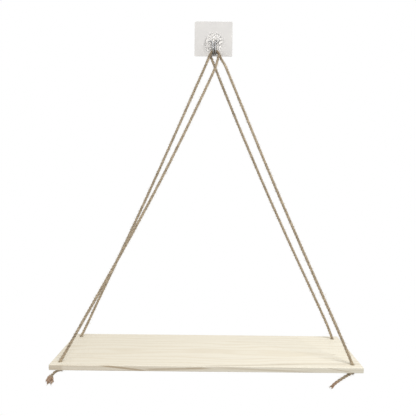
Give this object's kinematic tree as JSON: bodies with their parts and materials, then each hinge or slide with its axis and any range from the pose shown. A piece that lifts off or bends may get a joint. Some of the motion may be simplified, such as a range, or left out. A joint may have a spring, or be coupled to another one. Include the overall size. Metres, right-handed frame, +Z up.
{
  "type": "hanging rope shelf",
  "caption": "Small pine shelf board hung on two jute ropes from a steel wire hook in a clear adhesive wall plate.",
  "frame": {"origin": "middle of the adhesive sheet's wall side, behind the square wall plate", "axes": "+X to the right as seen from the room, +Y into the wall, +Z up; the shelf stands out along -Y"},
  "size_m": [0.4149, 0.12, 0.5009],
  "materials": {
    "adhesive": "clear foam sheet",
    "clear_plate": "clear, smooth",
    "clear_boss": "clear, polished",
    "hook_steel": "bright drawn wire",
    "pine": "sanded, unvarnished",
    "jute": "three-ply twisted cord"
  },
  "bodies": {
    "wall_mount": {"adhesive_sheet": "adhesive", "wall_plate": "clear_plate", "hook_boss": "clear_boss"},
    "hook": {"hook_wire": "hook_steel"},
    "shelf": {"shelf_board": "pine", "left_rope_back_knot": "jute", "left_rope_back_run": "jute", "left_rope_over_hook": "jute", "left_rope_front_run": "jute", "left_rope_front_knot": "jute", "right_rope_back_knot": "jute", "right_rope_back_run": "jute", "right_rope_over_hook": "jute", "right_rope_front_run": "jute", "right_rope_front_knot": "jute"}
  },
  "joints": [
    {"name": "hook_pivot", "type": "hinge", "parent": "wall_mount", "child": "hook", "pos_m": [0.0006, -0.005, -0.0044], "axis": [-1, 0, 0], "range_deg": [0, 35]},
    {"name": "shelf_sway", "type": "hinge", "parent": "hook", "child": "shelf", "pos_m": [0.0019, -0.01155, -0.02551], "axis": [0, -1, 0], "range_deg": [-15, 15]}
  ]
}
